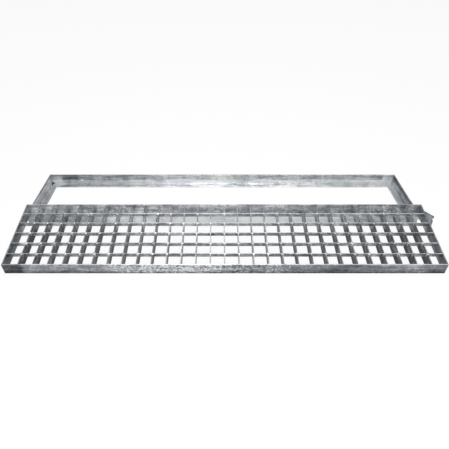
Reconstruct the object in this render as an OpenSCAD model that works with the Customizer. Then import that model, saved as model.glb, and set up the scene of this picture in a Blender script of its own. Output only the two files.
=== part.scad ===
// Channel drain grate with its angle frame, hot-dip galvanised steel.
// The mesh grate lies in front of the frame and leans on the frame's front upstand.
// X runs along the channel, Y across it away from the viewer, Z up, all in millimetres.
// The origin is the centre of the whole footprint, at floor level.

/* [Grate] */
// Length of the grate along the channel
grate_l = 1000; // [600:5:1200]
// Width of the grate across the channel
grate_w = 200; // [150:1:250]
// Height of the bearing, edge and end bars
grate_h = 30; // [20:1:50]
// Centre distance of neighbouring bars, both ways
mesh = 33.1; // [30:0.1:50]
// Thickness of a bearing bar
bearing_t = 2; // [1.5:0.5:5]
// Height of a cross bar
cross_h = 10; // [6:1:16]
// Thickness of a cross bar
cross_t = 2; // [1.5:0.5:4]
// Thickness of the edge bars and end bars
edge_t = 3; // [2:0.5:6]
// Radius of the rolled corners on the edge and end bars
edge_r = 0.6; // [0.2:0.1:0.9]
// Width of the lead-in at the mouth of a slot, on each side
slot_lead = 0.8; // [0.2:0.1:2]
// Size of the weld bead on each side of a bearing bar's end
bar_weld_leg = 2; // [1:0.5:4]
// Height left clear of weld at a bearing bar's top and underside
bar_weld_clear = 4; // [2:0.5:8]

/* [Frame] */
// Thickness of the frame's angle section
angle_t = 3; // [2:0.5:6]
// Width of the flange that carries the grate, over the corner
flange_w = 18; // [14:1:40]
// Radius of the fillet in the root of the angle
root_r = 1.5; // [0.5:0.1:3]
// Radius on the inner edge of each flange
toe_r = 1.5; // [0.5:0.1:1.9]
// Size of the weld bead in each inner corner, clear of a seated grate's corner
weld_leg = 1.5; // [0.8:0.1:2]
// Diameter of the relief hole in the rear left corner
relief_d = 6; // [4:0.5:10]
// Gap between the relief hole and the upstands beside it
relief_gap = 0.5; // [0:0.1:0.5]

/* [Fit] */
// Gap between a seated grate's end and the frame
end_gap = 2; // [1:0.5:5]
// Gap between a seated grate's long side and the frame
side_gap = 1; // [0.5:0.5:5]
// Gap on each side of a cross bar in its slot
slot_gap = 0.05; // [0.02:0.01:0.2]
// Gap between the leaning grate and the upstand that it rests on
rest_gap = 0.05; // [0.02:0.01:0.2]

/* [Lean] */
// Length of the grate's underside beyond the line where it rests
rest_past = 5; // [4:0.5:20]
// Offset of the grate's middle to the right of the frame's middle
grate_shift = 3; // [0:0.5:10]

/* [Anchor lug] */
// Height of the rail's top above the lug's top
lug_drop = 3; // [0:0.5:8]
// Thickness of the lug's strip
lug_t = 3; // [2:0.5:5]
// Length of the lug's foot along the rail
lug_foot = 20; // [12:1:40]
// Distance from the frame's front face to the lug's bend
lug_back = 50; // [30:1:100]
// Length of the lug's leg beyond its bend
lug_leg = 64; // [30:1:80]
// Angle by which the leg turns away from the rail
lug_angle = 32; // [15:1:60]
// Radius inside the lug's bend
lug_bend_r = 4; // [2:0.5:8]
// Width of the notch that splits the lug's tip
notch_w = 7; // [3:0.5:10]
// Depth of the notch that splits the lug's tip
notch_d = 6; // [2:0.5:12]
// Height of the lug's top above the notch's middle
notch_drop = 10; // [6:0.5:12]

/* [Hidden] */
$fn = 48;
zinc = "#a9afb1";
zinc_dark = "#8d9396";
// Clearance by which a cutting shape passes the face that it cuts
over = 1;

// Bars of the grate, counted between its rims
bearing_bars = round(grate_l / mesh) - 1;
cross_bars = round(grate_w / mesh) - 1;
bearing_span = grate_w - 2 * edge_t;
cross_span = grate_l - 2 * edge_t;
cross_z = grate_h - cross_h;

// Frame round a seated grate, whose top is level with the upstand
frame_l = grate_l + 2 * (end_gap + angle_t);
frame_w = grate_w + 2 * (side_gap + angle_t);
frame_h = grate_h + angle_t;

// Lean of the grate from the floor to the front upstand
tilt = asin((frame_h + rest_gap) / (grate_w - rest_past));
reach = (grate_w - rest_past) * cos(tilt);

// Lug: height of its strip, radius outside its bend, and how far its tip stands out
lug_h = frame_h - lug_drop;
lug_outer_r = lug_bend_r + lug_t;
tip_out = lug_outer_r - lug_bend_r * cos(lug_angle) + lug_leg * sin(lug_angle);
bend_steps = 8;

// Middle of the whole footprint
low_x = min(-frame_l / 2, grate_shift - grate_l / 2);
high_x = max(frame_l / 2 + tip_out, grate_shift + grate_l / 2);
low_y = -reach - grate_h * sin(tilt);
high_y = frame_w;
middle = [(low_x + high_x) / 2, (low_y + high_y) / 2, 0];

function bearing_x(i) = (i - (bearing_bars + 1) / 2) * mesh;
function cross_y(i) = grate_w / 2 + (i - (cross_bars + 1) / 2) * mesh;
function bearing_name(i) = str("bearing_bar_", i < 10 ? "0" : "", i);
function cross_name(i) = str("cross_bar_", i);

// Puts the frame's own axes, from the middle of its front face, into the part's axes
module in_frame() {
    translate(-middle) children();
}

// Puts the grate's own axes, from the middle of its front foot, into the part's axes
module in_grate() {
    in_frame() translate([grate_shift, -reach, 0]) rotate([tilt, 0, 0]) children();
}

// Section of a rolled flat bar, standing on its edge
module flat_section(t, h) {
    translate([edge_r, 0]) square([t - 2 * edge_r, h]);
    translate([0, edge_r]) square([t, h - 2 * edge_r]);
    for (x = [edge_r, t - edge_r], z = [edge_r, h - edge_r]) translate([x, z]) circle(edge_r);
}

// Slot in a bearing bar's top edge, with a lead-in at its mouth
module slot_outline() {
    half = cross_t / 2 + slot_gap;
    mouth = half + slot_lead;
    polygon([
        [-half, cross_z], [half, cross_z], [half, grate_h - slot_lead], [mouth, grate_h],
        [mouth, grate_h + over], [-mouth, grate_h + over], [-mouth, grate_h], [-half, grate_h - slot_lead]
    ]);
}

// Bearing bar across the channel, full height, slotted for every cross bar
module bearing_bar(i) {
    color(zinc_dark) in_grate() translate([bearing_x(i) - bearing_t / 2, 0, 0])
        rotate([90, 0, 90]) linear_extrude(bearing_t) difference() {
            translate([edge_t, 0]) square([bearing_span, grate_h]);
            for (j = [1:cross_bars]) translate([cross_y(j), 0]) slot_outline();
        }
}

// Cross bar along the channel, pressed into the slots with its top flush
module cross_bar(i) {
    color(zinc) in_grate() translate([-cross_span / 2, cross_y(i) - cross_t / 2, cross_z])
        cube([cross_span, cross_t, cross_h]);
}

// Edge bar along a long side; its outer face is at y = 0 of its own axes
module edge_bar() {
    color(zinc) translate([-grate_l / 2, 0, 0]) rotate([90, 0, 90]) linear_extrude(grate_l)
        flat_section(edge_t, grate_h);
}

module edge_bar_front() {
    in_grate() edge_bar();
}

module edge_bar_rear() {
    in_grate() translate([0, grate_w - edge_t, 0]) edge_bar();
}

// End bar between the edge bars, closing a short side
module end_bar() {
    color(zinc) translate([0, grate_w - edge_t, 0]) rotate([90, 0, 0]) linear_extrude(bearing_span)
        flat_section(edge_t, grate_h);
}

module end_bar_left() {
    in_grate() translate([-grate_l / 2, 0, 0]) end_bar();
}

module end_bar_right() {
    in_grate() translate([grate_l / 2 - edge_t, 0, 0]) end_bar();
}

// Quarter-round weld bead standing in an inner corner at the origin, towards +X and +Y
module bead(leg, h) {
    intersection() {
        cylinder(h = h, r = leg);
        cube([leg + over, leg + over, h]);
    }
}

// Beads on both sides of every bearing bar, at an edge bar's face along y = 0, towards +Y
module end_beads() {
    bead_h = grate_h - 2 * bar_weld_clear;
    for (i = [1:bearing_bars]) translate([bearing_x(i), 0, bar_weld_clear]) {
        translate([bearing_t / 2, 0, 0]) bead(bar_weld_leg, bead_h);
        translate([-bearing_t / 2, 0, 0]) rotate(90) bead(bar_weld_leg, bead_h);
    }
}

module bar_end_welds_front() {
    color(zinc_dark) in_grate() translate([0, edge_t, 0]) end_beads();
}

module bar_end_welds_rear() {
    color(zinc_dark) in_grate() translate([0, grate_w - edge_t, 0]) rotate(180) end_beads();
}

// Area that rounds an inner corner at the origin, towards +X and +Y
module corner_cut(r) {
    difference() {
        square(r);
        translate([r, r]) circle(r);
    }
}

// Angle section: outer corner at the origin, one flange up, one flange inwards
module angle_section() {
    difference() {
        union() {
            square([angle_t, frame_h]);
            square([flange_w, angle_t]);
            translate([angle_t, angle_t]) corner_cut(root_r);
        }
        translate([angle_t, frame_h]) rotate(180) corner_cut(toe_r);
        translate([flange_w, angle_t]) rotate(180) corner_cut(toe_r);
    }
}

// Rail of the given outer length along +X from its outer corner, mitred at both ends
module rail(length) {
    color(zinc) intersection() {
        rotate([90, 0, 90]) linear_extrude(length) angle_section();
        translate([0, 0, -over]) linear_extrude(frame_h + 2 * over)
            polygon([[0, 0], [length, 0], [length - flange_w, flange_w], [flange_w, flange_w]]);
    }
}

// Relief hole on the mitre of the rear left corner
module relief_hole() {
    inset = angle_t + relief_gap + relief_d / 2;
    translate([-frame_l / 2 + inset, frame_w - inset, -over])
        cylinder(h = angle_t + root_r + 2 * over, d = relief_d);
}

module frame_rail_front() {
    in_frame() translate([-frame_l / 2, 0, 0]) rail(frame_l);
}

module frame_rail_rear() {
    in_frame() difference() {
        translate([frame_l / 2, frame_w, 0]) rotate(180) rail(frame_l);
        relief_hole();
    }
}

module frame_rail_left() {
    in_frame() difference() {
        translate([-frame_l / 2, frame_w, 0]) rotate(-90) rail(frame_w);
        relief_hole();
    }
}

module frame_rail_right() {
    in_frame() translate([frame_l / 2, 0, 0]) rotate(90) rail(frame_w);
}

// Upright bead that closes the mitre between two upstands, in one inner corner
module corner_weld() {
    translate([angle_t, angle_t, angle_t + root_r]) bead(weld_leg, frame_h - angle_t - root_r - toe_r);
}

// The four corner beads, each a solid of its own
module corner_welds() {
    color(zinc_dark) in_frame() {
        translate([-frame_l / 2, 0, 0]) corner_weld();
        translate([frame_l / 2, 0, 0]) rotate(90) corner_weld();
        translate([frame_l / 2, frame_w, 0]) rotate(180) corner_weld();
        translate([-frame_l / 2, frame_w, 0]) rotate(-90) corner_weld();
    }
}

// Point of the bend at a radius and at an angle turned from the foot, and the way the leg runs
function bend_point(r, turned) = [lug_outer_r - r * cos(turned), -r * sin(turned)];
function leg_from(p) = p + lug_leg * [sin(lug_angle), -cos(lug_angle)];

// Plan of the strip: foot along +Y on the rail, bend, and leg turned outwards
module lug_plan() {
    turns = [for (k = [0:bend_steps]) lug_angle * k / bend_steps];
    polygon(concat(
        [[0, lug_foot]],
        [for (turned = turns) bend_point(lug_outer_r, turned)],
        [leg_from(bend_point(lug_outer_r, lug_angle)), leg_from(bend_point(lug_bend_r, lug_angle))],
        [for (k = [bend_steps:-1:0]) bend_point(lug_bend_r, turns[k])],
        [[lug_t, lug_foot]]
    ));
}

// Notch that splits the tip of the leg, a wedge right through the strip
module lug_notch() {
    half = notch_w / 2 * (notch_d + over) / notch_d;
    translate([lug_outer_r, 0, lug_h - notch_drop]) rotate(lug_angle)
        translate([-lug_outer_r - over, -lug_leg, 0]) rotate([90, 0, 90]) linear_extrude(lug_t + 2 * over)
            polygon([[-over, -half], [notch_d, 0], [-over, half]]);
}

// Anchor lug, a bent strip on the right rail that sets into the concrete
module anchor_lug() {
    color(zinc_dark) in_frame() translate([frame_l / 2, lug_back, 0]) difference() {
        linear_extrude(lug_h) lug_plan();
        lug_notch();
    }
}

for (i = [1:bearing_bars]) bearing_bar(i);
for (i = [1:cross_bars]) cross_bar(i);
edge_bar_front();
edge_bar_rear();
end_bar_left();
end_bar_right();
frame_rail_front();
frame_rail_rear();
frame_rail_left();
frame_rail_right();
bar_end_welds_front();
bar_end_welds_rear();
corner_welds();
anchor_lug();
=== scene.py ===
"""Looks of the channel drain grate: zinc finishes, weld beads, zinc webs and drops, floor, light and camera.

Lengths are in metres in the part's own axes: X along the channel, Y across it, Z up.
"""

import math

import bmesh
import bpy
import numpy as np
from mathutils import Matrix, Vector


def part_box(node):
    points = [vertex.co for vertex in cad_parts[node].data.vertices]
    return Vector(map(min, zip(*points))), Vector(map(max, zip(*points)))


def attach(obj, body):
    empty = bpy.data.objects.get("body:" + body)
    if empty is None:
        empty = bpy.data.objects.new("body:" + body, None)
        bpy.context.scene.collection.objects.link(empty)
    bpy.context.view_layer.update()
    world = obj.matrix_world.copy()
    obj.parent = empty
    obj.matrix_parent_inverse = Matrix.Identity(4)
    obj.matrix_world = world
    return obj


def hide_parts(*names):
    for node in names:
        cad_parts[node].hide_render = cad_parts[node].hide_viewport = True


bl_info = {
    "name": "Channel Drain Grate",
    "version": (1, 0, 0),
    "blender": (4, 5, 0),
    "location": "View3D > Sidebar > Drain Grate",
    "description": "Dresses a galvanised drain grate and its angle frame",
    "category": "Object",
}

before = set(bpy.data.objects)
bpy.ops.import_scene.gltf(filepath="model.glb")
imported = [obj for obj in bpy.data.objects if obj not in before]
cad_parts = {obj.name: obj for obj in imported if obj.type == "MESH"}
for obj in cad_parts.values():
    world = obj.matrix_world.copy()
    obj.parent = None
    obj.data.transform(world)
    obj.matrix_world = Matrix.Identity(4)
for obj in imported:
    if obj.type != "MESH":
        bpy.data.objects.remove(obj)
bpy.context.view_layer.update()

MM = 0.001
BEARING_BARS = sorted(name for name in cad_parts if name.startswith("bearing_bar_"))
CROSS_BARS = sorted(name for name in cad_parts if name.startswith("cross_bar_"))
RIM = ["edge_bar_front", "edge_bar_rear", "end_bar_left", "end_bar_right"]
RAILS = ["frame_rail_front", "frame_rail_rear", "frame_rail_left", "frame_rail_right"]


def box(name):
    """Lowest and highest corner of a CAD node, as two arrays."""
    low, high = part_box(name)
    return np.array(low), np.array(high)


def middle(name):
    """Centre of a CAD node's box."""
    low, high = box(name)
    return (low + high) / 2


# The leaning grate's own axes: along the channel, up its slope, and square to its top.
SLOPE = math.atan2(*(middle(CROSS_BARS[-1]) - middle(CROSS_BARS[0]))[[2, 1]])
ALONG = np.array([1.0, 0.0, 0.0])
UPHILL = np.array([0.0, math.cos(SLOPE), math.sin(SLOPE)])
UPRIGHT = np.array([0.0, -math.sin(SLOPE), math.cos(SLOPE)])
VERTICAL = np.array([0.0, 0.0, 1.0])


def leaning_size(name):
    """Thickness, length up the slope and height of a flat bar whose box leans by the slope.

    The box is (length cos + height sin) wide and (length sin + height cos) high, solved for both.
    """
    low, high = box(name)
    wide, deep, tall = high - low
    double = math.cos(2 * SLOPE)
    length = (deep * math.cos(SLOPE) - tall * math.sin(SLOPE)) / double
    height = (tall * math.cos(SLOPE) - deep * math.sin(SLOPE)) / double
    return wide, length, height


def linear(hex_colour):
    """sRGB hex to linear RGBA: the lower part is a straight line, the rest a power of 2.4."""
    parts = [int(hex_colour[i:i + 2], 16) / 255 for i in (1, 3, 5)]
    return tuple(c / 12.92 if c <= 0.04045 else ((c + 0.055) / 1.055) ** 2.4 for c in parts) + (1.0,)


def add_node(tree, kind, settings=None, inputs=None, links=None):
    """Adds a shader node; inputs set its sockets, and links join other nodes' sockets to its own."""
    made = tree.nodes.new(kind)
    for key, value in (settings or {}).items():
        setattr(made, key, value)
    for key, value in (inputs or {}).items():
        made.inputs[key].default_value = value
    for key, socket in (links or {}).items():
        tree.links.new(socket, made.inputs[key])
    return made


class FinishSettings(bpy.types.PropertyGroup):
    """Colours and pattern sizes of the zinc coat."""

    # The ramp's dull end also serves as painted shade on the bars' sides in the mesh, and its bright end as painted
    # highlights.
    dull: bpy.props.StringProperty(
        name="Dull zinc", description="sRGB hex of zinc in its dullest places", default="#34393c")
    plain: bpy.props.StringProperty(
        name="Zinc", description="sRGB hex of the plain zinc coat", default="#888b91")
    bright: bpy.props.StringProperty(
        name="Bright zinc", description="sRGB hex of bright, fresh zinc", default="#e2e4e5")
    weathered: bpy.props.StringProperty(
        name="Weathered tint", description="sRGB hex that tints damp-stored zinc", default="#eceeed")
    spangle: bpy.props.FloatProperty(
        name="Spangle", description="Width of one zinc crystal", default=9 * MM, subtype="DISTANCE", unit="LENGTH")
    run_length: bpy.props.FloatProperty(
        name="Run length", description="Length of a zinc run along a bar", default=70 * MM,
        subtype="DISTANCE", unit="LENGTH")
    run_width: bpy.props.FloatProperty(
        name="Run width", description="Width of a zinc run", default=6 * MM, subtype="DISTANCE", unit="LENGTH")


class BeadSettings(bpy.types.PropertyGroup):
    """Sizes of the weld beads."""

    corner_leg: bpy.props.FloatProperty(
        name="Corner bead", description="Leg of the bead in a corner of the frame", default=1.7 * MM,
        subtype="DISTANCE", unit="LENGTH")
    lug_leg: bpy.props.FloatProperty(
        name="Lug bead", description="Leg of the beads at the lug's foot", default=2.6 * MM,
        subtype="DISTANCE", unit="LENGTH")
    lug_back: bpy.props.FloatProperty(
        name="Lug bend", description="Distance from the frame's front face to the lug's bend", default=50 * MM,
        subtype="DISTANCE", unit="LENGTH")
    ripple: bpy.props.FloatProperty(
        name="Ripple", description="Length of one ripple along a bead", default=2.6 * MM,
        subtype="DISTANCE", unit="LENGTH")


class ZincSettings(bpy.types.PropertyGroup):
    """Sizes of the zinc that stays in the corners and in drops."""

    web_reach: bpy.props.FloatProperty(
        name="Web reach", description="Reach of the zinc web from the middle of a crossing", default=6.2 * MM,
        subtype="DISTANCE", unit="LENGTH")
    web_rise: bpy.props.FloatProperty(
        name="Web rise", description="Height of a web above the bars' tops", default=0.25 * MM,
        subtype="DISTANCE", unit="LENGTH")
    drop: bpy.props.FloatProperty(
        name="Drop", description="Radius of a middling zinc drop", default=1.3 * MM,
        subtype="DISTANCE", unit="LENGTH")


class StageSettings(bpy.types.PropertyGroup):
    """Camera and light."""

    focal: bpy.props.FloatProperty(
        name="Focal length", description="Camera focal length on a 36 mm sensor", default=37.6, unit="CAMERA")
    look_down: bpy.props.FloatProperty(
        name="Look down", description="Angle of the view below the horizon", default=math.radians(35.086),
        subtype="ANGLE")
    eye: bpy.props.FloatVectorProperty(
        name="Eye", description="Place of the camera", default=(-0.0307, -1.0053, 0.7071),
        subtype="TRANSLATION", unit="LENGTH")
    top_power: bpy.props.FloatProperty(name="Top light", description="Power of the top soft box", default=18,
                                       unit="POWER")
    front_power: bpy.props.FloatProperty(name="Front light", description="Power of the front soft box", default=7,
                                         unit="POWER")


def zinc_material(name, finish, grain, level, facing=(), bands=[], spots=(), patch=None, roughness=0.42,
                  contrast=1.0, mottle=0.13):
    """Hot-dip galvanised steel: dipped in molten zinc that freezes in crystals and runs off along the bar.

    One number per place, the brightness of the zinc, picks the colour from dull to bright; besides the zinc's own
    tone it carries painted light and shade. It is the level, plus runs along the grain, crystals (their share is
    mottle), blotches and flecks, plus what each facing adds (the way the surface looks, its share: painted light
    and painted shade by which way a surface faces), each band (axis, middle and half width in mm, share), whose
    borders are wavy, and each spot (place and radius in mm, share). Most bands, and some spots, are painted
    highlights, painted shade and painted shadow. A band's axis can be UPRIGHT, square to the leaning grate's top,
    and a band with a fifth entry lies only on surfaces that look along that axis. A patch is one more band, with
    small crisp crystals in it (their share comes last). Metal, softly mirroring.
    """
    material = bpy.data.materials.new(name)
    material.use_nodes = True
    tree = material.node_tree
    tree.nodes.clear()
    out = add_node(tree, "ShaderNodeOutputMaterial")
    place = add_node(tree, "ShaderNodeTexCoord").outputs["Object"]
    surface = add_node(tree, "ShaderNodeNewGeometry")
    turned = add_node(tree, "ShaderNodeSeparateXYZ", links={"Vector": surface.outputs["True Normal"]})
    stretch = [1 / finish.run_width] * 3
    stretch["XYZ".index(grain)] = 1 / finish.run_length
    run_place = add_node(tree, "ShaderNodeMapping", inputs={"Scale": stretch}, links={"Vector": place})
    runs = add_node(tree, "ShaderNodeTexNoise", inputs={"Scale": 1.0, "Detail": 3.0, "Roughness": 0.55},
                    links={"Vector": run_place.outputs["Vector"]})
    crystals = add_node(tree, "ShaderNodeTexVoronoi", inputs={"Scale": 1 / finish.spangle},
                        links={"Vector": place})
    crystal = add_node(tree, "ShaderNodeSeparateColor", links={"Color": crystals.outputs["Color"]})
    blotches = add_node(tree, "ShaderNodeTexNoise", inputs={"Scale": 0.28 / finish.spangle, "Detail": 3.0},
                        links={"Vector": place})
    flecks = add_node(tree, "ShaderNodeTexNoise", inputs={"Scale": 2.6 / finish.spangle, "Detail": 1.0},
                      links={"Vector": place})
    patterns = [(runs.outputs["Fac"], 0.75), (crystal.outputs["Red"], mottle), (blotches.outputs["Fac"], 0.45),
                (flecks.outputs["Fac"], 0.35)]
    terms = [(socket, share * contrast) for socket, share in patterns]
    offset = level - sum(share for _, share in terms) / 2
    wander = add_node(tree, "ShaderNodeVectorMath", {"operation": "MULTIPLY_ADD"},
                      {1: (0.03, 0.03, 0.004), 2: (-0.015, -0.015, -0.002)}, {0: blotches.outputs["Color"]})
    wavy = add_node(tree, "ShaderNodeVectorMath", links={0: place, 1: wander.outputs["Vector"]})
    spot = add_node(tree, "ShaderNodeSeparateXYZ", links={"Vector": wavy.outputs["Vector"]})
    lift = add_node(tree, "ShaderNodeVectorMath", {"operation": "DOT_PRODUCT"}, {1: tuple(UPRIGHT)},
                    {0: wavy.outputs["Vector"]})
    along = {"X": spot.outputs["X"], "Y": spot.outputs["Y"], "Z": spot.outputs["Z"], "UPRIGHT": lift.outputs["Value"]}
    # Facings paint light and shade by the way a surface faces.
    for axis, sign, share in facing:
        side = add_node(tree, "ShaderNodeMath", {"operation": "MULTIPLY", "use_clamp": True}, {1: sign},
                        {0: turned.outputs[axis]})
        terms.append((side.outputs["Value"], share))
    inside_patch = None
    # Bands and spots paint light and shade on most parts, as set per part below, besides changes of tone.
    for axis, centre, half, share, *only in bands + ([patch[:4]] if patch else []):
        away = add_node(tree, "ShaderNodeMath", {"operation": "SUBTRACT"}, {1: centre * MM}, {0: along[axis]})
        far = add_node(tree, "ShaderNodeMath", {"operation": "ABSOLUTE"}, links={0: away.outputs["Value"]})
        inside = add_node(tree, "ShaderNodeMapRange", {"interpolation_type": "SMOOTHSTEP"},
                          {"From Min": half * 0.7 * MM, "From Max": half * 1.3 * MM, "To Min": 1.0, "To Max": 0.0},
                          {"Value": far.outputs["Value"]})
        inside_patch = inside.outputs["Result"]
        if only:
            side = add_node(tree, "ShaderNodeMath", {"operation": "ABSOLUTE"}, links={0: turned.outputs[only[0]]})
            inside = add_node(tree, "ShaderNodeMath", {"operation": "MULTIPLY"},
                              links={0: side.outputs["Value"], 1: inside_patch})
        terms.append((inside.outputs[0], share))
    if patch:
        grit = add_node(tree, "ShaderNodeTexVoronoi", inputs={"Scale": 2 / finish.spangle}, links={"Vector": place})
        grain_colour = add_node(tree, "ShaderNodeSeparateColor", links={"Color": grit.outputs["Color"]})
        grits = add_node(tree, "ShaderNodeMath", {"operation": "MULTIPLY"},
                         links={0: grain_colour.outputs["Green"], 1: inside_patch})
        terms.append((grits.outputs["Value"], patch[4]))
    for centre, radius, share in spots:
        away = add_node(tree, "ShaderNodeVectorMath", {"operation": "DISTANCE"}, {1: [c * MM for c in centre]},
                        {0: place})
        inside = add_node(tree, "ShaderNodeMapRange", {"interpolation_type": "SMOOTHSTEP"},
                          {"From Min": radius * 0.6 * MM, "From Max": radius * 1.4 * MM, "To Min": 1.0, "To Max": 0.0},
                          {"Value": away.outputs["Value"]})
        terms.append((inside.outputs["Result"], share))
    total = None
    for socket, share in terms:
        step = add_node(tree, "ShaderNodeMath", {"operation": "MULTIPLY_ADD"}, {1: share, 2: offset}, {0: socket})
        if total is not None:
            tree.links.new(total, step.inputs[2])
        total = step.outputs["Value"]
    ramp = add_node(tree, "ShaderNodeValToRGB", links={"Fac": total})
    stops = ramp.color_ramp.elements
    stops.new(0.5)
    for stop, position, colour in zip(stops, (0.0, 0.5, 1.0), (finish.dull, finish.plain, finish.bright)):
        stop.position = position
        stop.color = linear(colour)
    damp = add_node(tree, "ShaderNodeTexNoise", inputs={"Scale": 7.0, "Detail": 2.0}, links={"Vector": place})
    damp_share = add_node(tree, "ShaderNodeMapRange", inputs={"From Min": 0.5, "From Max": 0.62},
                          links={"Value": damp.outputs["Fac"]})
    tint = add_node(tree, "ShaderNodeMix", {"data_type": "RGBA", "blend_type": "MULTIPLY"},
                    {7: linear(finish.weathered)},
                    {0: damp_share.outputs["Result"], 6: ramp.outputs["Color"]})
    matt = add_node(tree, "ShaderNodeMapRange", inputs={"To Min": roughness + 0.14, "To Max": roughness - 0.1},
                    links={"Value": total})
    bump = add_node(tree, "ShaderNodeBump", inputs={"Strength": 0.3, "Distance": 0.5 * MM}, links={"Height": total})
    shader = add_node(tree, "ShaderNodeBsdfPrincipled", inputs={"Metallic": 0.8},
                      links={"Base Color": tint.outputs[2], "Roughness": matt.outputs["Result"],
                             "Normal": bump.outputs["Normal"]})
    tree.links.new(shader.outputs["BSDF"], out.inputs["Surface"])
    return material


def dress(names, material, edge=0.25 * MM):
    """Puts one material on CAD nodes and rounds their sharp edges, as a thick zinc coat does."""
    for name in names:
        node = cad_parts[name]
        node.data.materials.clear()
        node.data.materials.append(material)
        node.modifiers.new("join", "WELD").merge_threshold = 0.01 * MM
        rounding = node.modifiers.new("coat", "BEVEL")
        rounding.width = edge
        rounding.segments = 2
        rounding.limit_method = "ANGLE"
        rounding.angle_limit = math.radians(40)


class GRATE_OT_bearing_bars(bpy.types.Operator):
    """Zinc on the bearing bars, with painted shade on their sides in the mesh and painted light on their tops"""

    bl_idname = "grate.bearing_bars"
    bl_label = "Bearing bars"

    def execute(self, context):
        finish = context.scene.grate_finish
        centre = middle(BEARING_BARS[0]) @ UPRIGHT / MM
        # Painted light and shade: the sides are darkened as painted shade in the mesh, darker still low down and
        # lighter towards the front, where the tops are a little darker; a painted highlight brightens the middle of
        # the grate.
        dress(BEARING_BARS, zinc_material(
            "galvanised_rolled_bearing_bar", finish, "Y", 0.4,
            facing=[("X", 1, -0.29), ("X", -1, -0.29), ("Z", 1, 0.04)],
            bands=[("X", -20, 130, 0.3), ("Y", -25, 45, 0.62, "X"), ("Y", -25, 45, -0.22, "Z"),
                   ("Y", -12, 20, 0.26, "X"), ("UPRIGHT", centre - 12, 9, -0.32, "X"),
                   ("UPRIGHT", centre + 9, 8, 0.06, "X")], contrast=1.3))
        return {"FINISHED"}


class GRATE_OT_cross_bars(bpy.types.Operator):
    """Zinc on the cross bars: plain on their faces, with painted light on their tops"""

    bl_idname = "grate.cross_bars"
    bl_label = "Cross bars"

    def execute(self, context):
        finish = context.scene.grate_finish
        # Painted light: the tops are lighter, more so towards the front and less towards the left end.
        dress(CROSS_BARS, zinc_material(
            "galvanised_rolled_cross_bar", finish, "X", 0.62, facing=[("Z", 1, 0.16)],
            bands=[("X", 0, 160, -0.03), ("X", -360, 250, -0.14, "Z"), ("Y", -40, 45, 0.22, "Z")], contrast=1.2,
            mottle=0.2))
        return {"FINISHED"}


class GRATE_OT_rim(bpy.types.Operator):
    """Zinc on the edge bars and end bars"""

    bl_idname = "grate.rim"
    bl_label = "Edge bars and end bars"

    def execute(self, context):
        finish = context.scene.grate_finish
        front, rear, left, right = RIM
        # Painted light and shade on the front bar: its top is lighter, its face has a painted highlight left of the
        # middle and a painted contact shadow along its lowest 10 mm; it is also darker towards both ends.
        dress([front], zinc_material(
            "galvanised_rolled_edge_bar_front", finish, "X", 0.48, facing=[("Z", 1, 0.4)],
            bands=[("X", -143, 126, 0.24), ("X", 50, 70, 0.08), ("X", 300, 170, -0.08), ("Z", 0, 10, -0.16),
                   ("Z", 0, 4, -0.2), ("X", -502, 30, -0.26), ("X", 472, 30, -0.14), ("X", 388, 44, 0.15)],
            patch=("X", -62, 200, -0.24, 0.5), contrast=1.2, mottle=0.16))
        dress([rear], zinc_material(
            "galvanised_rolled_edge_bar_rear", finish, "X", 0.67, facing=[("Z", 1, -0.05)],
            bands=[("Z", 40, 8, -0.08), ("X", 0, 130, -0.03), ("X", -400, 250, 0.06),
                   ("X", 330, 70, -0.08)], contrast=1.2, mottle=0.2))
        # Painted shade darkens the end bars' sides, except near the front, where painted light brightens them; their
        # tops are a little lighter.
        dress([left, right], zinc_material(
            "galvanised_rolled_end_bar", finish, "Y", 0.34,
            facing=[("Z", 1, 0.1), ("X", 1, -0.14), ("X", -1, -0.14)], bands=[("Y", -25, 45, 0.45, "X")]))
        return {"FINISHED"}


class GRATE_OT_rails(bpy.types.Operator):
    """Zinc on the four rails of the angle frame"""

    bl_idname = "grate.rails"
    bl_label = "Frame rails"

    def execute(self, context):
        finish = context.scene.grate_finish
        front, rear, left, right = RAILS
        corner = (box(left)[0][0] / MM + 3, box(rear)[1][1] / MM - 5, 6)
        # A dark spot painted at the corner's root: painted shade in and around the hole there.
        root_hole_shade = (corner, 5, -0.6)
        face = corner[1]
        # Painted light and shade on the rails: painted highlights along the middle of the front and rear rails and
        # near the rear rail's right end; painted shade on the right rail's inner face, along the upper part of the
        # rear and right rails' upright flanges and along the rear rail's foot. The rails' levels differ to match how
        # brightly each is lit, on top of the zinc's own tone. The left rail is darker in a thin line along its top
        # edge, and the rear rail has darker and lighter spots near its left end.
        dress([front], zinc_material(
            "galvanised_rolled_angle_front", finish, "X", 0.58,
            bands=[("X", -30, 300, 0.34), ("X", 150, 120, 0.1), ("X", 400, 130, 0.08)], contrast=0.8))
        dress([rear], zinc_material(
            "galvanised_rolled_angle_rear", finish, "X", 0.9, facing=[("Z", 1, -0.1)],
            bands=[("X", -28, 150, 0.1, "Y"), ("X", -28, 150, -0.13, "Z"), ("X", 100, 340, 0.08),
                   ("X", 320, 150, 0.1, "Z"), ("Z", 29, 12, -0.34), ("Z", 0, 4, -0.12), ("X", 470, 14, 0.32)],
            spots=[root_hole_shade, ((-476, face, 25), 13, -0.28), ((-452, face, 25), 13, -0.28), ((-432, face, 16), 4, 0.4),
                   ((-505, face, 16), 12, 0.15)], contrast=1.1))
        dress([left], zinc_material(
            "galvanised_rolled_angle_left", finish, "Y", 0.72, bands=[("Z", 34, 2.6, -0.3)], spots=[root_hole_shade],
            contrast=0.7))
        dress([right], zinc_material(
            "galvanised_rolled_angle_right", finish, "Y", 1.0, facing=[("X", -1, -0.5)],
            bands=[("Z", 34, 12, -0.4)], contrast=1.3))
        return {"FINISHED"}


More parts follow.
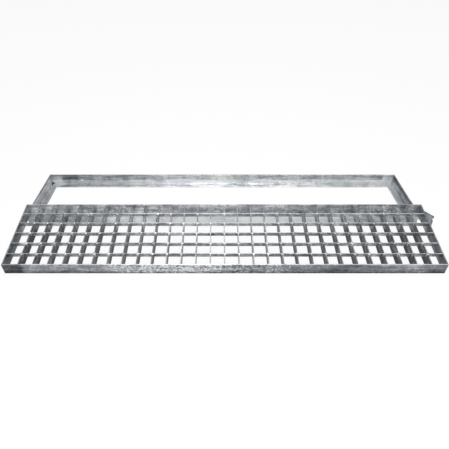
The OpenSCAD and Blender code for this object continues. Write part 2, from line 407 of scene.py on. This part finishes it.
class GRATE_OT_lug(bpy.types.Operator):
    """Zinc on the anchor lug"""

    bl_idname = "grate.lug"
    bl_label = "Anchor lug"

    def execute(self, context):
        finish = context.scene.grate_finish
        dress(["anchor_lug"], zinc_material(
            "galvanised_bent_strip_lug", finish, "Z", 0.6, facing=[("Z", 1, -0.55)]))
        return {"FINISHED"}


def add_piece(name, points, material):
    """Mesh of like closed surfaces, each a grid of rows of points whose columns close on themselves.

    points is (copies, rows, columns, 3). Each quad joins a point to its neighbours in its row and in the next;
    the first and last row of a copy are single points, whose doubles are merged, and normals are turned outwards.
    """
    copies, rows, columns, _ = points.shape
    start, row, column = np.meshgrid(np.arange(copies) * rows * columns, np.arange(rows - 1) * columns,
                                     np.arange(columns), indexing="ij")
    here, beside = start + row + column, start + row + (column + 1) % columns
    quads = np.stack([here, beside, beside + columns, here + columns], axis=-1).reshape(-1, 4)
    mesh = bpy.data.meshes.new(name)
    mesh.from_pydata(points.reshape(-1, 3), [], quads)
    shape = bmesh.new()
    shape.from_mesh(mesh)
    bmesh.ops.remove_doubles(shape, verts=shape.verts, dist=0.0001 * MM)
    bmesh.ops.recalc_face_normals(shape, faces=shape.faces)
    shape.to_mesh(mesh)
    shape.free()
    mesh.shade_smooth()
    mesh.materials.append(material)
    piece = bpy.data.objects.new(name, mesh)
    bpy.context.scene.collection.objects.link(piece)
    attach(piece, "root")
    return piece


def fillet_beads(corner, one_way, other_way, line, length, leg, ripple, rows):
    """Weld beads in inner corners, as point grids for add_piece.

    Arrays hold one entry per bead: its corner's starting point, the two ways along the faces, the way along the
    corner, its length and its leg. A cross-section is a quarter round of radius leg times a swelling,
    (sin of the way along) to the power 0.3, times a ripple of 8 %, and its inner corner is sunk a little.
    """
    t = np.linspace(0, 1, rows)
    swell = np.sin(np.pi * np.clip(t, 0, 1)) ** 0.3
    swell[[0, -1]] = 0
    waves = 1 + 0.08 * np.cos(2 * np.pi * t[None, :] * length[:, None] / ripple)
    radius = leg[:, None] * swell * waves
    angle = np.radians([-12, 20, 45, 70, 102])
    across = np.concatenate([np.cos(angle), [-0.15]])
    up = np.concatenate([np.sin(angle), [-0.15]])
    spine = corner[:, None] + line[:, None] * (t[None, :] * length[:, None])[..., None]
    arm = across[None, None, :, None] * one_way[:, None, None] + up[None, None, :, None] * other_way[:, None, None]
    return spine[:, :, None] + radius[:, :, None, None] * arm


def bead_material(finish):
    """Zinc over a weld bead: the dip coats the ripples, and they stay a little brighter than the bars."""
    return zinc_material("galvanised_weld_bead", finish, "Z", 0.62, roughness=0.36)


class GRATE_OT_bar_welds(bpy.types.Operator):
    """Rippled beads on both sides of each bearing bar's ends, in the place of the plain ones"""

    bl_idname = "grate.bar_welds"
    bl_label = "Bar end welds"

    def execute(self, context):
        beads, finish = context.scene.grate_beads, context.scene.grate_finish
        thick, length, _ = leaning_size(BEARING_BARS[0])
        _, leg, height = leaning_size("bar_end_welds_front")
        centres = np.array([middle(name) for name in BEARING_BARS])
        luck = np.random.default_rng(11)
        side, end, bar = (grid.ravel() for grid in np.meshgrid([-1, 1], [-1, 1], np.arange(len(centres))))
        count = len(side)
        corner = (centres[bar] + side[:, None] * ALONG * thick / 2 + end[:, None] * UPHILL * length / 2
                  + UPRIGHT * (luck.uniform(0.0, 0.06, count)[:, None] * height - height / 2))
        points = fillet_beads(
            corner, side[:, None] * ALONG, -end[:, None] * UPHILL, np.tile(UPRIGHT, (count, 1)),
            height * luck.uniform(0.86, 0.94, count), leg * luck.uniform(0.85, 1.1, count), 2 * beads.ripple, 9)
        bar_beads = add_piece("bar_end_beads", points, bead_material(finish))
        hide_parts("bar_end_welds_front", "bar_end_welds_rear")
        return {"FINISHED"}


class GRATE_OT_frame_welds(bpy.types.Operator):
    """Rippled beads in the frame's inner corners, in the place of the plain ones, and beads at the lug's foot"""

    bl_idname = "grate.frame_welds"
    bl_label = "Frame welds"

    def execute(self, context):
        beads, finish = context.scene.grate_beads, context.scene.grate_finish
        low, high = box("corner_welds")
        ways = np.array([[1, 1, 0], [-1, 1, 0], [-1, -1, 0], [1, -1, 0]], float)
        corner = np.where(ways > 0, low, high)
        corner[:, 2] = low[2]
        upright = np.tile(VERTICAL, (4, 1))
        leg = np.full(4, beads.corner_leg)
        tall = np.full(4, high[2] - low[2])
        material = bead_material(finish)
        points = fillet_beads(corner, ways * [1, 0, 0], ways * [0, 1, 0], upright, tall, leg, beads.ripple, 25)
        corner_beads = add_piece("corner_beads", points, material)
        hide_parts("corner_welds")
        lug_low, lug_high = box("anchor_lug")
        bend = box("frame_rail_front")[0][1] + beads.lug_back
        foot = np.array([[lug_low[0], lug_high[1], lug_low[2]], [lug_low[0], bend - 2.5 * MM, lug_low[2]]])
        away = np.array([[0.0, 1.0, 0.0], [0.0, -1.0, 0.0]])
        tall = np.full(2, lug_high[2] - lug_low[2])
        foot[:, 2] += 2 * MM
        points = fillet_beads(foot, away, np.tile(ALONG, (2, 1)), upright[:2], tall - 5 * MM,
                              np.array([1.0, 0.7]) * beads.lug_leg, beads.ripple, 25)
        add_piece("lug_foot_welds", points, material)
        return {"FINISHED"}


class GRATE_OT_zinc_webs(bpy.types.Operator):
    """Zinc that stays in the corners where a cross bar passes through a bearing bar"""

    bl_idname = "grate.zinc_webs"
    bl_label = "Zinc webs at the crossings"

    def execute(self, context):
        zinc, finish = context.scene.grate_zinc, context.scene.grate_finish
        height = leaning_size(BEARING_BARS[0])[2]
        cross_height = leaning_size(CROSS_BARS[0])[2]
        bar_middle, cross_middle = middle(BEARING_BARS[0]), np.array([middle(name) for name in CROSS_BARS])
        bars = np.array([middle(name)[0] for name in BEARING_BARS])
        uphill = (cross_middle - bar_middle) @ UPHILL
        top = bar_middle + UPRIGHT * height / 2
        x, run = (grid.ravel() for grid in np.meshgrid(bars, uphill))
        count = len(x)
        centre = top + run[:, None] * UPHILL
        centre[:, 0] = x
        luck = np.random.default_rng(23)
        reach = zinc.web_reach * luck.uniform(0.75, 1.15, count)
        around = np.arange(12) * 2 * np.pi / 12
        # A star with hollow sides: the cubes of cosine and sine, whose tips lie inside the bars.
        star = (np.cos(around) ** 3)[:, None] * ALONG + (np.sin(around) ** 3)[:, None] * UPHILL
        size = np.array([0.0, 0.7, 1.0, 0.97, 0.8, 0.0])
        lift = np.array([zinc.web_rise, zinc.web_rise, -0.3 * MM, -0.35 * cross_height, -0.8 * cross_height,
                         -cross_height - 0.4 * MM])
        points = (centre[:, None, None] + (reach[:, None] * size)[..., None, None] * star
                  + (lift[None, :, None, None] * UPRIGHT))
        # Painted light: the webs' tops are lighter, and a painted highlight brightens those in the middle of the
        # grate.
        add_piece("zinc_webs", points, zinc_material(
            "galvanised_zinc_web", finish, "X", 0.56, facing=[("Z", 1, 0.12)], bands=[("X", -20, 200, 0.16)],
            roughness=0.36, contrast=1.7))
        return {"FINISHED"}


def drop_grid(centre, outward, radius, rise):
    """Zinc drops as point grids: flattened balls, rise high and radius wide, half sunk in their surface.

    A point is centre + radius cos(latitude) (cos u + sin v) + rise sin(latitude) outward, where u and v are
    square to outward.
    """
    first = np.cross(outward, [0.31, 0.52, 0.79])
    first /= np.linalg.norm(first, axis=1)[:, None]
    second = np.cross(outward, first)
    latitude = np.radians([-90, -20, 15, 45, 70, 90])
    around = np.arange(8) * 2 * np.pi / 8
    ring = (np.cos(around)[None, :, None] * first[:, None] + np.sin(around)[None, :, None] * second[:, None])
    return (centre[:, None, None] + (radius[:, None] * np.cos(latitude))[..., None, None] * ring[:, None]
            + (rise[:, None] * np.sin(latitude))[..., None, None] * outward[:, None, None])


class GRATE_OT_zinc_drops(bpy.types.Operator):
    """Small drops and pimples of frozen zinc on the bars and rails"""

    bl_idname = "grate.zinc_drops"
    bl_label = "Zinc drops"

    def execute(self, context):
        zinc, finish = context.scene.grate_zinc, context.scene.grate_finish
        luck = np.random.default_rng(5)
        spots, ways, sizes = [], [], []
        for name in CROSS_BARS + RIM[:1]:
            _, _, height = leaning_size(name)
            low, high = box(name)
            for _ in range(9):
                spot = middle(name) + UPRIGHT * height / 2
                spot[0] = luck.uniform(low[0] + 5 * MM, high[0] - 5 * MM)
                spots.append(spot - UPRIGHT * 0.1 * MM)
                ways.append(UPRIGHT)
                sizes.append(luck.uniform(0.6, 1.1))
        rear_low, rear_high = box("frame_rail_rear")
        for _ in range(34):
            x = luck.uniform(rear_low[0] + 30 * MM, rear_high[0] - 30 * MM)
            z = luck.uniform(5 * MM, 30 * MM)
            spots.append(np.array([x, rear_high[1] - 3 * MM, z]))
            ways.append(np.array([0.0, -1.0, 0.0]))
            sizes.append(luck.uniform(0.5, 1.2))
        front_low, front_high = box("edge_bar_front")
        for _ in range(26):
            x = luck.uniform(front_low[0] + 10 * MM, front_high[0] - 10 * MM)
            up = luck.uniform(3 * MM, 22 * MM)
            foot = np.array([x, front_low[1] + math.sin(SLOPE) * leaning_size("edge_bar_front")[2], 0.0])
            spots.append(foot + UPRIGHT * up)
            ways.append(-UPHILL)
            sizes.append(luck.uniform(0.5, 1.0))
        rear_thick, rear_height = leaning_size("edge_bar_rear")[1:]
        for x, up, large in ((-45, 16, 1.5), (150, 18, 1.3), (378, 13, 1.5), (406, 20, 1.0), (409, 12, 1.7)):
            spot = middle("edge_bar_rear") - UPHILL * rear_thick / 2 + UPRIGHT * (up * MM - rear_height / 2)
            spot[0] = x * MM
            spots.append(spot)
            ways.append(-UPHILL)
            sizes.append(large)
        crossing = middle(CROSS_BARS[0]) + UPRIGHT * leaning_size(CROSS_BARS[0])[2] / 2
        crossing[0] = middle(BEARING_BARS[4])[0]
        spots.append(crossing)
        ways.append(UPRIGHT)
        sizes.append(2.6)
        size = np.array(sizes) * zinc.drop
        points = drop_grid(np.array(spots), np.array(ways), size, size * 0.45)
        add_piece("zinc_drops", points, zinc_material(
            "frozen_zinc_drop", finish, "X", 0.85, roughness=0.3))
        return {"FINISHED"}


def backdrop_material(name):
    """Matt white studio sheet: white to the eye and in reflections, and it keeps a faint shadow."""
    material = bpy.data.materials.new(name)
    material.use_nodes = True
    tree = material.node_tree
    tree.nodes.clear()
    out = add_node(tree, "ShaderNodeOutputMaterial")
    paint = add_node(tree, "ShaderNodeBsdfDiffuse", inputs={"Color": linear("#f4f4f4"), "Roughness": 1.0})
    glow = add_node(tree, "ShaderNodeEmission", inputs={"Color": (1, 1, 1, 1), "Strength": 1.0})
    path = add_node(tree, "ShaderNodeLightPath")
    seen = add_node(tree, "ShaderNodeMath", {"operation": "ADD"},
                    links={0: path.outputs["Is Camera Ray"], 1: path.outputs["Is Glossy Ray"]})
    seen_all = add_node(tree, "ShaderNodeMath", {"operation": "ADD", "use_clamp": True},
                        links={0: seen.outputs["Value"], 1: path.outputs["Is Transmission Ray"]})
    share = add_node(tree, "ShaderNodeMath", {"operation": "MULTIPLY"}, {1: 0.9}, {0: seen_all.outputs["Value"]})
    mix = add_node(tree, "ShaderNodeMixShader", links={0: share.outputs["Value"], 1: paint.outputs["BSDF"],
                                                       2: glow.outputs["Emission"]})
    tree.links.new(mix.outputs["Shader"], out.inputs["Surface"])
    return material


def area_light(name, size, place, target, energy):
    """Soft box of the given size, turned to a target."""
    data = bpy.data.lights.new(name, "AREA")
    data.shape = "RECTANGLE"
    data.size, data.size_y = size
    data.energy = energy
    lamp = bpy.data.objects.new(name, data)
    bpy.context.scene.collection.objects.link(lamp)
    lamp.location = place
    way = np.array(target, float) - np.array(place, float)
    lamp.rotation_euler = (math.atan2(math.hypot(way[0], way[1]), -way[2]), 0, math.atan2(-way[0], way[1]))
    return lamp


class GRATE_OT_stage(bpy.types.Operator):
    """Floor, soft light, world and camera"""

    bl_idname = "grate.stage"
    bl_label = "Stage"

    def execute(self, context):
        scene = context.scene
        stage = scene.grate_stage
        half = 6.0
        mesh = bpy.data.meshes.new("floor")
        mesh.from_pydata([(-half, -half, 0), (half, -half, 0), (half, half, 0), (-half, half, 0)], [], [(0, 1, 2, 3)])
        floor = bpy.data.objects.new("floor", mesh)
        scene.collection.objects.link(floor)
        mesh.materials.append(backdrop_material("studio_white_sheet"))
        area_light("top_soft_box", (1.6, 1.2), (0.0, -0.2, 1.9), (0, 0, 0), stage.top_power)
        area_light("front_soft_box", (0.5, 0.4), (-0.03, -1.2, 0.8), (0, -0.1, 0), stage.front_power)
        world = bpy.data.worlds.new("studio")
        scene.world = world
        world.use_nodes = True
        tree = world.node_tree
        tree.nodes.clear()
        out = add_node(tree, "ShaderNodeOutputWorld")
        ambient = add_node(tree, "ShaderNodeBackground", inputs={"Color": (1, 1, 1, 1), "Strength": 0.45})
        white = add_node(tree, "ShaderNodeBackground", inputs={"Color": (1, 1, 1, 1), "Strength": 1.0})
        path = add_node(tree, "ShaderNodeLightPath")
        seen = add_node(tree, "ShaderNodeMath", {"operation": "ADD"},
                        links={0: path.outputs["Is Camera Ray"], 1: path.outputs["Is Glossy Ray"]})
        seen_all = add_node(tree, "ShaderNodeMath", {"operation": "ADD", "use_clamp": True},
                            links={0: seen.outputs["Value"], 1: path.outputs["Is Transmission Ray"]})
        mix = add_node(tree, "ShaderNodeMixShader", links={0: seen_all.outputs["Value"],
                       1: ambient.outputs["Background"], 2: white.outputs["Background"]})
        tree.links.new(mix.outputs["Shader"], out.inputs["Surface"])
        scene.view_settings.view_transform = "Standard"
        data = bpy.data.cameras.new("camera")
        data.sensor_width = 36
        data.lens = stage.focal
        data.shift_x = 0.0141
        data.shift_y = -0.0029
        camera = bpy.data.objects.new("camera", data)
        scene.collection.objects.link(camera)
        camera.location = stage.eye
        camera.rotation_euler = (math.pi / 2 - stage.look_down, 0, 0)
        scene.camera = camera
        return {"FINISHED"}


class GRATE_PT_panel(bpy.types.Panel):
    """Lists the steps in the sidebar"""

    bl_label = "Drain Grate"
    bl_idname = "GRATE_PT_panel"
    bl_space_type = "VIEW_3D"
    bl_region_type = "UI"
    bl_category = "Drain Grate"

    def draw(self, context):
        for operator in OPERATORS:
            self.layout.operator(operator.bl_idname)


SETTINGS = {"grate_finish": FinishSettings, "grate_beads": BeadSettings, "grate_zinc": ZincSettings,
            "grate_stage": StageSettings}
OPERATORS = [GRATE_OT_bearing_bars, GRATE_OT_cross_bars, GRATE_OT_rim, GRATE_OT_rails, GRATE_OT_lug,
             GRATE_OT_bar_welds, GRATE_OT_frame_welds, GRATE_OT_zinc_webs, GRATE_OT_zinc_drops, GRATE_OT_stage]


def register():
    for group in SETTINGS.values():
        bpy.utils.register_class(group)
    for name, group in SETTINGS.items():
        setattr(bpy.types.Scene, name, bpy.props.PointerProperty(type=group))
    for item in OPERATORS + [GRATE_PT_panel]:
        bpy.utils.register_class(item)


def unregister():
    for item in reversed(OPERATORS + [GRATE_PT_panel]):
        bpy.utils.unregister_class(item)
    for name, group in SETTINGS.items():
        delattr(bpy.types.Scene, name)
        bpy.utils.unregister_class(group)


def plain(corners):
    """A box as plain lists of numbers."""
    return [[float(v) for v in corner] for corner in corners]


def main():
    register()
    bpy.ops.grate.bearing_bars()
    bpy.ops.grate.cross_bars()
    bpy.ops.grate.rim()
    bpy.ops.grate.rails()
    bpy.ops.grate.lug()
    bpy.ops.grate.bar_welds()
    bpy.ops.grate.frame_welds()
    bpy.ops.grate.zinc_webs()
    bpy.ops.grate.zinc_drops()
    bpy.ops.grate.stage()


if __name__ == "__main__":
    main()
